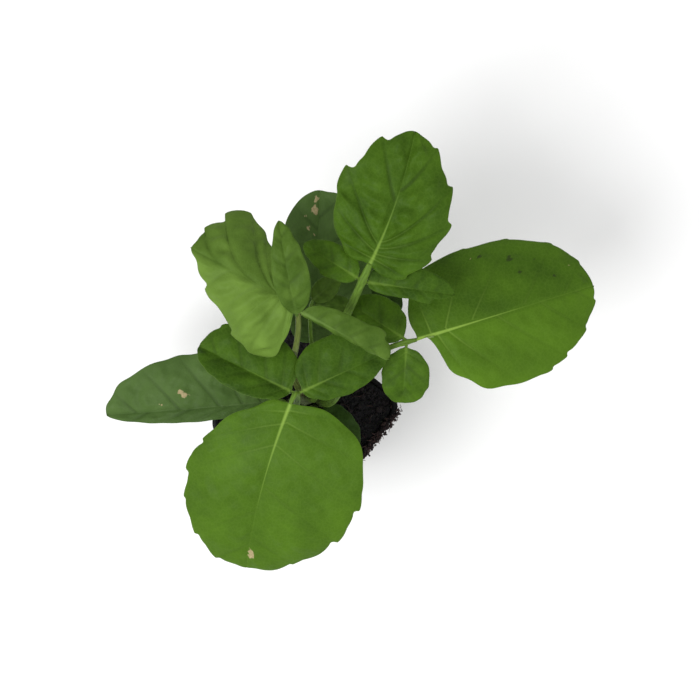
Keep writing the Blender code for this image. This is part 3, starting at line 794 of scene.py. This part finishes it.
def bend_sheet(blade, foot, plan):
    """Carries the plan into space. A point goes out from the midrib along an arc that starts at its
    half's tilt and turns by its curl on the way to the margin, and waves lift the outer half."""
    x, y = plan[..., 0], plan[..., 1]
    place, ahead, leftward, upward = midrib(blade, foot, x)
    half = np.where(y > 0, blade["left"], blade["right"])
    reach = np.abs(y)
    bend = np.radians(of_half(blade, "curl", y)) * reach / half / 2
    chord = reach * np.sinc(bend / np.pi)
    ease = 1 - np.exp(-reach / 1.2)
    rise = np.radians(of_half(blade, "tilt", y)) * ease + bend
    waves = ripple(np.stack([x, 0.4 * y], axis=-1), WAVE_SHARE * blade["length"], 5,
                   sum(map(ord, blade["name"])))
    lift = blade["wave"] * half * np.clip(reach / half, 0, 1.2) ** 1.6 * waves
    out = np.sign(y) * chord * np.cos(rise)
    up = chord * np.sin(rise) + lift
    return place + leftward * out[..., None] + upward * up[..., None]


def vein_field(blade, plan, start, out):
    """Where the secondary veins run: a phase that is whole on each vein, by interpolation between
    the places where the veins reach the margin, and the distance between two of them."""
    rows = len(start)
    q = np.linspace(0, 1, rows)
    counts = {}
    for side, shift in (("left", 0.0), ("right", 0.05)):
        ends = blade.get("veins_" + side, np.linspace(0.14, 0.84, blade["veins"]) + shift)
        counts[side] = smooth(np.interp(q, [0, *ends, 1], np.arange(len(ends) + 2.0)), rows * 0.01)
    half = len(out) // 2
    phase = np.concatenate([np.repeat(counts["right"][:, None], half + 1, axis=1),
                            np.repeat(counts["left"][:, None], half, axis=1)], axis=1)
    along_q = np.gradient(plan, axis=0)
    along_v = np.gradient(plan, axis=1)
    cross = np.abs(along_q[..., 0] * along_v[..., 1] - along_q[..., 1] * along_v[..., 0])
    apart = cross / np.maximum(np.linalg.norm(along_v, axis=-1), 1e-6)
    pitch = apart / np.gradient(phase, axis=0)
    return phase, np.clip(pitch, 0.3, 40)


def tone_of(blade, plan, seed):
    """The tone at each point: the blade's own, with ripples of two sizes, and the painted light or shade
    that its half adds.
    """
    size, y = blade["length"], plan[..., 1]
    tone = blade["tone"] + 0.06 * ripple(plan, 0.3 * size, 8, seed)
    tone = tone + 0.02 * ripple(plan, 0.1 * size, 8, seed + 1)
    # painted light or shade: one half of the blade is made lighter or darker as light falls on it
    return tone + np.where(y > 0, blade["painted_light_left"], blade["painted_light_right"]) * np.clip(np.abs(y) / 2, 0, 1)


def marks_of(blade, plan, seed):
    """How strongly each point is marked, and under 0 where it is specked. A mark fades with the
    distance from its centre, and ripples warp its outline."""
    warp = np.stack([ripple(plan, 2.4, 8, seed), ripple(plan, 2.4, 8, seed + 1)], axis=-1) * 0.35
    marks = np.zeros(plan.shape[:2])
    for key, sign in (("marks", 1), ("specks", -1)):
        for mark_x, mark_y, mark_size in blade[key]:
            gap = np.linalg.norm((plan + warp - [mark_x, mark_y]) * [1.0, 1.4], axis=-1)
            marks = marks + sign * np.clip(1.6 - gap / mark_size, 0, 1)
    return marks


def blade_skins(blade, foot, rows, columns):
    """The upper and lower skin, and what the leaf's material needs at each point.

    The sheet puffs up by a power of a sine between two veins, and fine ripples roughen it. The upper
    skin sinks along the veins as a bell curve, and the lower skin swells there more.
    """
    plan, start, out = plan_of(blade, rows, columns)
    phase, pitch = vein_field(blade, plan, start, out)
    sheet = bend_sheet(blade, foot, plan)
    normal = np.cross(np.gradient(sheet, axis=0), np.gradient(sheet, axis=1))
    normal /= np.maximum(np.linalg.norm(normal, axis=-1), 1e-9)[..., None]
    x, y = plan[..., 0], plan[..., 1]
    reach, size = np.abs(y), blade["length"]
    slim = np.clip(1 - 0.8 * np.clip(x, 0, size) / size, 0.12, 1)
    to_vein = np.abs(phase - np.round(phase)) * pitch
    side_vein = np.exp(-((to_vein / 0.8) ** 2)) * np.clip(1.15 - out[None], 0, 1)
    middle_vein = np.exp(-((reach / (0.45 + 0.5 * slim)) ** 2))
    inside = np.clip(reach / 3, 0, 1) * np.clip((1 - out[None]) * 4, 0, 1)
    between = np.abs(np.sin(np.pi * phase)) ** 1.5 * inside
    seed = sum(map(ord, blade["name"])) + 7
    puff = of_half(blade, "puff", y) * between * np.clip(pitch / 7, 0.2, 1.4)
    fine = ripple(plan, 3.2, 16, seed) * 0.014 + ripple(plan, 1.5, 16, seed + 1) * 0.005
    fine = fine + 0.5 * puff * ripple(plan, 8.0, 12, seed + 6)
    relief = puff + fine * np.clip(reach / 2, 0, 1)
    thin = np.clip((1 - out[None]) * 14, 0.25, 1)
    stalk = np.exp(-np.clip(x - blade["stalk"], 0, None) / 2.5)
    upper = relief + thin * THICKNESS / 2 - blade["groove"] * side_vein
    upper = upper - 0.22 * middle_vein * (1 - stalk) + 0.25 * middle_vein * stalk
    lower = relief - thin * THICKNESS / 2 - 0.16 * side_vein - (0.25 + 0.55 * slim) * middle_vein
    data = {"vein_phase": phase, "vein_pitch": pitch, "off_midrib": reach, "along": x / size,
            "outward": np.broadcast_to(out[None], x.shape), "plan_x": x, "plan_y": y,
            "tone": tone_of(blade, plan, seed + 4), "mark": marks_of(blade, plan, seed + 2),
            "pale": np.full_like(x, blade["pale"]), "deep": np.full_like(x, blade["deep"])}
    return sheet + normal * upper[..., None], sheet + normal * lower[..., None], data


def line_on(made, value, width, soft):
    """1 where a distance is under a width, and 0 past the width and its soft edge."""
    return add_node(made, "MapRange", {"Value": value, "From Min": width, "From Max": soft, "To Min": 1.0,
                                       "To Max": 0.0}, interpolation_type="SMOOTHSTEP").outputs["Result"]


def leaf_skin(name, dark, light, vein, vein_show, roughness, under=False):
    """Leaf skin. Its green lies between a dark and a light one by the blade's tone and by noise, and
    the tone also holds the painted light or shade of each half. The midrib and the secondary veins are
    pale near the foot and fade; further on the veins carry painted shade, dark lines for the shade in
    their grooves. There is a fine net of small veins, a pale margin, and tan marks. The underside has a
    thin down, and its small veins stand out."""
    made, shader = new_material(name, dark, roughness, 0.25)
    shader.inputs["IOR"].default_value = 1.25
    place = object_place(made)
    along, outward, phase, pitch, pale, mark = [attribute(made, key) for key in (
        "along", "outward", "vein_phase", "vein_pitch", "pale", "mark")]

    cloudy = stretch(made, noise(made, place, 0.011, 3), 0.3, 0.7, -0.05, 0.05)
    grainy = stretch(made, noise(made, place, 0.0016, 3), 0.3, 0.7, -0.03, 0.03)
    # The tone attribute also holds the painted light or shade of each half.
    tone = math_of(made, "ADD", math_of(made, "ADD", attribute(made, "tone"), cloudy), grainy, clamp=True)
    colour = blend_colours(made, tone, dark, light)

    flat = flat_place(made, attribute(made, "plan_x"), attribute(made, "plan_y"))
    shift = add_node(made, "TexNoise", {"Vector": flat, "Scale": 0.7, "Detail": 1.0}).outputs["Color"]
    warped = add_node(made, "VectorMath", {0: flat, 1: shift}, operation="ADD").outputs[0]
    net = add_node(made, "TexVoronoi", {"Vector": warped, "Scale": 0.55},
                   feature="DISTANCE_TO_EDGE").outputs["Distance"]
    small = line_on(made, net, 0.02, 0.16)
    colour = blend_colours(made, product(made, small, 0.09 * vein_show), colour, vein)

    # Painted shade: further out, the secondary veins darken towards half the dark green for the shade in
    # their grooves.
    off_phase = math_of(made, "SUBTRACT", phase, math_of(made, "ROUND", phase))
    to_vein = product(made, math_of(made, "ABSOLUTE", off_phase), pitch)
    deep = product(made, line_on(made, to_vein, 0.1, 1.3), stretch(made, outward, 0.4, 1.0, 0.6, 0.1))
    deep = product(made, deep, attribute(made, "deep"))
    deep = product(made, deep, stretch(made, pitch, 2.0, 7.0))
    colour = blend_colours(made, deep, colour, tuple(0.5 * c for c in dark))

    near_foot = product(made, stretch(made, along, 0.05, 0.55, 1.0, 0.2), pale)
    fade = product(made, stretch(made, outward, 0.02, 0.6, 1.0, 0.0), near_foot)
    side = product(made, line_on(made, to_vein, 0.0, 0.65), fade)
    colour = blend_colours(made, product(made, side, 0.5 * vein_show), colour, vein)

    slim = stretch(made, along, 0.0, 0.35, 1.0, 0.32)
    middle = line_on(made, math_of(made, "DIVIDE", attribute(made, "off_midrib"), slim), 0.1, 1.3)
    far = stretch(made, along, 0.05, 0.6, 1.0, 0.06)
    middle = product(made, middle, product(made, far, pale))
    colour = blend_colours(made, product(made, middle, min(1.0, vein_show + 0.4)), colour, vein)
    colour = blend_colours(made, stretch(made, outward, 0.985, 1.0, 0.0, 0.3), colour, vein)

    uneven = stretch(made, noise(made, place, 0.0012, 3), 0.3, 0.65, 0.6, 1.2)
    spots = stretch(made, product(made, mark, uneven), 0.25, 0.6)
    tan = blend_colours(made, noise(made, place, 0.0009, 3), (0.16, 0.1, 0.045), (0.5, 0.44, 0.24))
    colour = blend_colours(made, spots, colour, tan)
    specks = stretch(made, mark, -0.7, -0.2, 0.8, 0.0)
    colour = blend_colours(made, specks, colour, (0.02, 0.03, 0.008))

    join(made, colour, shader, "Base Color")
    dull = stretch(made, noise(made, place, 0.006, 3), 0.3, 0.7, roughness - 0.06, roughness + 0.1)
    join(made, dull, shader, "Roughness")
    cells = bump(made, shader, noise(made, place, 0.00045, 2), 0.00002)
    bump(made, shader, small, 0.00008 if under else -0.00003, cells)
    shader.inputs["Sheen Weight"].default_value = 0.1 if under else 0.0
    shader.inputs["Sheen Roughness"].default_value = 0.5
    shader.inputs["Sheen Tint"].default_value = (0.6, 0.85, 0.4, 1)
    return made


FINISHES = {
    "green": [
        leaf_skin("leaf_top", (0.022, 0.055, 0.003), (0.082, 0.175, 0.009), (0.2, 0.32, 0.05), 0.5, 0.5),
        leaf_skin("leaf_underside", (0.08, 0.14, 0.03), (0.13, 0.2, 0.05), (0.2, 0.29, 0.09),
                  0.6, 0.65, under=True)],
    "young": [
        leaf_skin("young_leaf_top", (0.035, 0.075, 0.006), (0.125, 0.215, 0.032), (0.2, 0.31, 0.08),
                  0.3, 0.52),
        leaf_skin("young_leaf_underside", (0.1, 0.17, 0.04), (0.15, 0.24, 0.06), (0.22, 0.31, 0.1),
                  0.6, 0.65, under=True)],
    "old": [
        leaf_skin("old_leaf_top", (0.02, 0.048, 0.006), (0.085, 0.15, 0.038), (0.13, 0.2, 0.07), 0.3, 0.5),
        leaf_skin("old_leaf_underside", (0.07, 0.11, 0.04), (0.12, 0.17, 0.06), (0.16, 0.22, 0.09),
                  0.5, 0.65, under=True)],
}
SLOTS = {"green": "green_leaf", "young": "young_leaf", "old": "old_leaf"}


def add_blade(blade, foot, node_name):
    """Makes a blade of two skins that are sewn together round their margin."""
    blade = {**BLADE, **blade}
    size = blade["length"]
    rows = int(np.clip(2.1 * size, 60, 170))
    columns = int(np.clip(0.45 * size + 8, 14, 42))
    top, bottom, data = blade_skins(blade, foot, rows, columns)
    wide = 2 * columns + 1
    count = rows * wide
    upper = grid_faces(rows, wide)
    lower = grid_faces(rows, wide, start=count)[:, ::-1]
    rim = np.concatenate([
        np.arange(wide), np.arange(1, rows) * wide + wide - 1,
        (rows - 1) * wide + np.arange(wide - 2, -1, -1), np.arange(rows - 2, 0, -1) * wide])
    onward = np.roll(rim, -1)
    sewn = np.stack([rim, rim + count, onward + count, onward], axis=-1)
    faces = np.concatenate([upper, lower, sewn])
    normal_up = np.cross(top[1, columns] - top[0, columns], top[1, columns + 1] - top[1, columns])[2]
    if normal_up < 0:
        faces = faces[:, ::-1]
    kind = np.concatenate([np.zeros(len(upper)), np.ones(len(lower)), np.zeros(len(sewn))])
    both = {key: np.concatenate([value.ravel(), value.ravel()]) for key, value in data.items()}
    points = np.concatenate([top.reshape(-1, 3), bottom.reshape(-1, 3)])
    piece = add_piece(blade["name"] + "_sheet", points, faces, FINISHES[blade["colour"]],
                      SLOTS[blade["colour"]], face_finish=kind, **both)
    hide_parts(node_name)


def leaflet_foot(leaf, leaflet):
    """Where a side leaflet starts: beside its node, square to the petiole, on the side it heads
    for."""
    share = node_share(leaf)
    before, node, after = petiole_line(leaf, [share - 0.01, share, share + 0.01])
    along = (after - before) / np.linalg.norm(after - before)
    ahead = heading(leaflet["azimuth"], leaflet["pitch"])
    side = ahead - ahead.dot(along) * along
    return node + (petiole_radius(leaf, share) + FIT_GAP + 0.25) * side / np.linalg.norm(side)


def add_leaf(leaf):
    """Makes a leaf's petiole, its end blade and its side leaflets."""
    add_petiole(leaf)
    blade = leaf["blade"]
    foot = np.array(leaf["end"], float) + END_GAP * heading(leaf["azimuth"], leaf["pitch"])
    add_blade({"root": END_ROOT, **blade}, foot, blade["name"])
    for leaflet in leaf.get("leaflets", ()):
        add_blade({"root": SIDE_ROOT, **leaflet}, leaflet_foot(leaf, leaflet), leaflet["name"])


# ---------------------------------------------------------------------------------------------
# The front leaf is the broadest. Its end leaflet is round with a flat foot and blunt teeth, and
# it hangs out over the pot's front. Its left leaflet is folded up along its midrib.

add_leaf(dict(
    name="front_leaf", foot_azimuth=255, end=(-2.9, 9.4, 147), azimuth=246, pitch=0, rise=62, reach=16,
    foot_radius=2.0, end_radius=1.1, node_back=5.5,
    blade=dict(name="front_leaf_end_blade", azimuth=248, pitch=-2, length=85, left=42, right=34,
               droop=-38, sweep=13, tilt=4, foot_form_left=2.4, foot_form_right=1.65,
               tip_form_left=1.88, tip_form_right=1.72, lobe_left=0.25, lobe_right=0.1, rake_right=0.1,
               widest_left=0.42, widest_right=0.46, puff=0.3, groove=0.1, vein_lean=0.8, pale=1.0,
               deep=0.2,
               teeth_left=((0.5, 1.9), (0.65, 2.2), (0.84, 1.0)),
               teeth_right=((0.36, 1.4), (0.5, 1.2), (0.6, 1.0), (0.745, 1.5), (0.875, 1.4)),
               veins_left=(0.15, 0.33, 0.5, 0.65, 0.84), veins_right=(0.18, 0.36, 0.5, 0.745, 0.875),
               marks=((76, 1.5, 1.6), (74, 0.8, 1.2))),
    leaflets=[
        dict(name="front_leaf_left_leaflet", azimuth=154, pitch=0, length=45.5, left=11, right=18,
             tilt_left=35, tilt_right=4, widest=0.48, tip_form=2.0, foot_form_right=3.2, stalk=1,
             # The left half's added tone is painted shade, where that half turns away from the light.
             tone=0.24, teeth_right=((0.8, 0.9),), painted_light_left=-0.1),
        dict(name="front_leaf_right_leaflet", azimuth=25, pitch=6, length=41, left=17, right=9.5,
             droop=-16, widest=0.48, foot_form_left=3.0, stalk=1, tone=0.18, pale=0.5),
    ],
))

# ---------------------------------------------------------------------------------------------
# The right leaf reaches out over the pot's side on a slender petiole. Its end leaflet is nearly
# round and falls away on both sides of its midrib. Its left half starts further back than its right.

add_leaf(dict(
    name="right_leaf", foot_azimuth=342, end=(49.8, 35.6, 135.6), azimuth=12, pitch=7, rise=55, reach=38,
    foot_radius=2.0, end_radius=1.1, node_back=4.0,
    blade=dict(name="right_leaf_end_blade", azimuth=17, pitch=2.5, length=86, left=33, right=32.5,
               droop=-27, tilt_left=3, tilt_right=-4, curl_left=-30, curl_right=-14,
               foot_form_left=3.0, foot_form_right=2.3, tip_form_left=2.1, tip_form_right=1.72,
               widest_left=0.49, stalk_left=0.8, stalk_right=8, rake_left=-0.08, rake_right=-0.02,
               puff=0.25, groove=0.12, vein_lean=1.3, pale=1.6, deep=0.25,
               # The halves' added tones paint shade on the left half and light on the right one.
               tone=0.45, painted_light_left=-0.12, painted_light_right=0.2,
               teeth_left=((0.45, 0.4), (0.62, 0.5), (0.78, 0.6), (0.9, 0.7)),
               teeth_right=((0.63, 0.9), (0.7, 1.5), (0.83, 1.1), (0.94, 1.4)),
               veins_left=(0.2, 0.45, 0.62, 0.78, 0.9), veins_right=(0.3, 0.5, 0.7, 0.83, 0.94),
               marks=((34, 27, 0.35), (77, 12, 0.3)),
               specks=((38, 27, 1.1), (51, 22, 1.3), (53, 15, 1.0), (62, 19, 0.6), (68, 9, 0.5))),
    leaflets=[
        dict(name="right_leaf_back_leaflet", azimuth=147, pitch=2, length=28, left=7, right=11, droop=-10,
             tip_form=2.0, stalk=1, foot_form=2.2, veins=4, tone=0.42),
        dict(name="right_leaf_front_leaflet", azimuth=267, pitch=-6, length=26, left=11, right=10,
             droop=-20, widest=0.5, tip_form=2.2, stalk=0.8, veins=4, tone=0.35),
    ],
))

# ---------------------------------------------------------------------------------------------
# The back leaf stands on the thickest petiole. Its end leaflet is egg-shaped, rises towards its
# tip and has the coarsest teeth and the clearest veins.

add_leaf(dict(
    name="back_leaf", foot_azimuth=60, end=(30, 66.5, 155), azimuth=66, pitch=30, rise=58, reach=32,
    foot_radius=2.3, end_radius=1.6, node_back=7.5,
    blade=dict(name="back_leaf_end_blade", azimuth=63, pitch=20, length=58, left=24.3, right=23.3, droop=-22,
               sweep=16, tilt_left=8, tilt_right=4, tip_form_left=1.55, tip_form_right=1.48,
               lobe_left=0.3, lobe_right=0.5, puff=1.1, groove=0.32, vein_lean=2.5, vein_bend=1.35,
               tone=0.3, pale=0.8, deep=0.9,
               teeth_left=((0.6, 3.0), (0.83, 2.5)),
               teeth_right=((0.2, 0.9), (0.34, 1.4), (0.51, 1.7), (0.67, 2.0), (0.86, 1.4)),
               veins_left=(0.2, 0.4, 0.6, 0.83), veins_right=(0.2, 0.34, 0.51, 0.67, 0.86)),
    leaflets=[
        dict(name="back_leaf_left_leaflet", azimuth=148, pitch=6, length=27, left=6, right=8, stalk=0.5,
             foot_form=2.4, veins=4, teeth_left=((0.55, 1.0),), tone=0.38),
        dict(name="back_leaf_right_leaflet", azimuth=352, pitch=6, length=37, left=9.5, right=4.5,
             stalk=0.3, foot_form=2.8, teeth_right=((0.72, 1.6),), tone=0.17),
    ],
))

# ---------------------------------------------------------------------------------------------
# The young leaf is the highest and the palest. Its end leaflet has not flattened yet: both halves
# fall away from the midrib, the left one more, and the flesh is puffed between the veins.

add_leaf(dict(
    name="young_leaf", foot_azimuth=120, end=(0.3, 49.5, 163), azimuth=97, pitch=42, rise=62, reach=26,
    foot_radius=1.6, end_radius=1.1, node_back=3.0, on_top=True, flesh="young",
    blade=dict(name="young_leaf_end_blade", azimuth=152, pitch=8, length=50, left=30, right=27, droop=-24,
               tilt_left=-8, tilt_right=-14, curl_left=-34, foot_form_left=2.9, foot_form_right=1.3,
               tip_form_left=1.15, tip_form_right=1.3, rake_left=-0.35, rake_right=0.45,
               widest_left=0.36, widest_right=0.5, stalk=1.5, puff_left=1.1, puff_right=0.5,
               groove=0.16, wave=0.05, vein_lean=1.3, vein_bend=0.62, colour="young",
               # The left half's added tone paints light on that half.
               tone=0.4, painted_light_left=0.35, pale=0.0, deep=0.25,
               teeth_left=((0.56, 1.4), (0.8, 1.5)), teeth_right=((0.72, 3.0), (0.86, 1.5)),
               veins_left=(0.14, 0.3, 0.44, 0.56, 0.68, 0.8), veins_right=(0.2, 0.38, 0.55, 0.72, 0.86)),
    leaflets=[
        dict(name="young_leaf_left_leaflet", azimuth=100, pitch=52, length=42, left=6.5, right=8.5,
             droop=-72, stalk=0.6, tip_form=1.5, foot_form=1.9, widest=0.42, colour="young", puff=0.6,
             tone=0.22, pale=0.1),
        dict(name="young_leaf_right_leaflet", azimuth=332, pitch=2, length=41, left=8.5, right=5,
             tilt_right=-70, widest=0.6, tip_form=2.2, stalk=0.6, foot_form=2.4, colour="young", puff=0.4,
             teeth_left=((0.78, 1.8),), tone=0.22, pale=0.5),
    ],
))

# ---------------------------------------------------------------------------------------------
# The new leaf is only opening, on a thin soft petiole from the top of the rootstock. Its two small
# blades stand half hidden under the young leaf, and have few veins yet.

add_leaf(dict(
    name="new_leaf", foot_azimuth=330, end=(6, 52.5, 141), azimuth=65, pitch=50, rise=50, reach=18,
    foot_radius=1.1, end_radius=0.8, node_back=3.0, on_top=True,
    blade=dict(name="new_leaf_end_blade", azimuth=40, pitch=10, length=15, left=5, right=5, colour="young",
               veins=3, tone=0.3),
    leaflets=[dict(name="new_leaf_side_leaflet", azimuth=0, pitch=-6, length=16, left=5, right=5,
                   tip_form=2.4, colour="young", veins=3, tone=0.15)],
))

# ---------------------------------------------------------------------------------------------
# The four oldest leaves are simple and dull grey-green, and start low round the rootstock: one
# reaches out to the left, one to the rear, one is nearly hidden and one lies over the soil. The
# first two have dry marks.

add_leaf(dict(
    name="left_leaf", foot_azimuth=212, end=(-13, 7.5, 88), azimuth=184, pitch=30, rise=10, reach=4,
    foot_radius=2.0, end_radius=1.1,
    blade=dict(name="left_leaf_blade", azimuth=186, pitch=4, length=83, left=6.5, right=26, droop=-22,
               sweep=-2, tip_form=1.8, colour="old", puff=0.5, vein_lean=1.6, tone=0.5, groove=0.3,
               # The right half's added tone paints light on that half.
               painted_light_right=0.15, marks=((42, -7, 1.5), (44, -8.5, 1.1), (54, -3, 0.6))),
))
add_leaf(dict(
    name="rear_leaf", foot_azimuth=100, end=(7, 34, 103), azimuth=88, pitch=20, rise=24, reach=16,
    foot_radius=2.0, end_radius=1.1,
    blade=dict(name="rear_leaf_blade", azimuth=89, pitch=18, length=70, left=17, right=25, droop=-20,
               widest=0.64, tip_form=1.8, foot_form=3.2, colour="old", veins=6, puff=0.4, tone=0.68,
               marks=((61, 2, 1.7), (66, 1.5, 1.2), (53, 4.5, 0.8), (58, 6.5, 0.5), (46, 3, 0.6),
                      (50, 2, 0.4), (56, 9, 0.4), (43, -1, 0.5))),
))
add_leaf(dict(
    name="hidden_leaf", foot_azimuth=12, end=(18, 35, 96), azimuth=36, pitch=18, rise=20, reach=14,
    foot_radius=2.0, end_radius=1.1,
    blade=dict(name="hidden_leaf_blade", azimuth=42, pitch=14, length=36, left=17, right=12, droop=-18,
               foot_form=2.4, lobe_left=0.6, lobe_right=0.3, colour="old", tone=0.3),
))
add_leaf(dict(
    name="low_leaf", foot_azimuth=303, end=(5.5, 0.5, 77), azimuth=300, pitch=20, rise=3, reach=2,
    foot_radius=1.6, end_radius=1.2,
    blade=dict(name="low_leaf_blade", azimuth=306, pitch=14, length=26, left=14, right=12, droop=-18,
               foot_form=2.4, tip_form=2.2, lobe_left=0.5, stalk=1.5, colour="old", veins=4,
               tone=0.1),
))

# ---------------------------------------------------------------------------------------------
# The studio: a white table top, one broad soft light from the front left, a weak one from the
# right, a pale room, and a camera that looks straight down on the plant.

bpy.ops.mesh.primitive_plane_add(size=6)
floor = bpy.context.object
floor.name = "table_top"
paint, paint_shader = new_material("table_paint", (0.93, 0.93, 0.93), 0.8, 0.2)
floor.data.materials.append(paint)


def soft_light(name, place, aim, size, power):
    """A square area light that faces a point: turned by the angles of the way to it."""
    lamp = bpy.data.lights.new(name, "AREA")
    lamp.size = size
    lamp.energy = power
    light = bpy.data.objects.new(name, lamp)
    bpy.context.scene.collection.objects.link(light)
    light.location = place
    way = np.asarray(aim, float) - np.asarray(place, float)
    away = -way / np.linalg.norm(way)
    light.rotation_euler = (np.arccos(away[2]), 0, np.arctan2(away[0], -away[1]))


PLANT_MIDDLE = (0.02, 0.03, 0.1)
soft_light("key_light", (-0.5, -0.36, 1.15), PLANT_MIDDLE, 0.55, 11.0)
soft_light("fill_light", (0.7, -0.7, 1.3), PLANT_MIDDLE, 1.0, 3.0)

room = bpy.data.worlds.new("room")
bpy.context.scene.world = room
room.use_nodes = True
glow = room.node_tree.nodes["Background"]
glow.inputs["Color"].default_value = (1.0, 1.0, 1.0, 1)
glow.inputs["Strength"].default_value = 0.72

view = bpy.data.cameras.new("camera")
view.lens = 61.2
view.clip_start = 0.01
camera = bpy.data.objects.new("camera", view)
camera.location = (0.022, 0.0314, 0.65)
bpy.context.scene.collection.objects.link(camera)
bpy.context.scene.camera = camera
bpy.context.scene.view_settings.view_transform = "Standard"
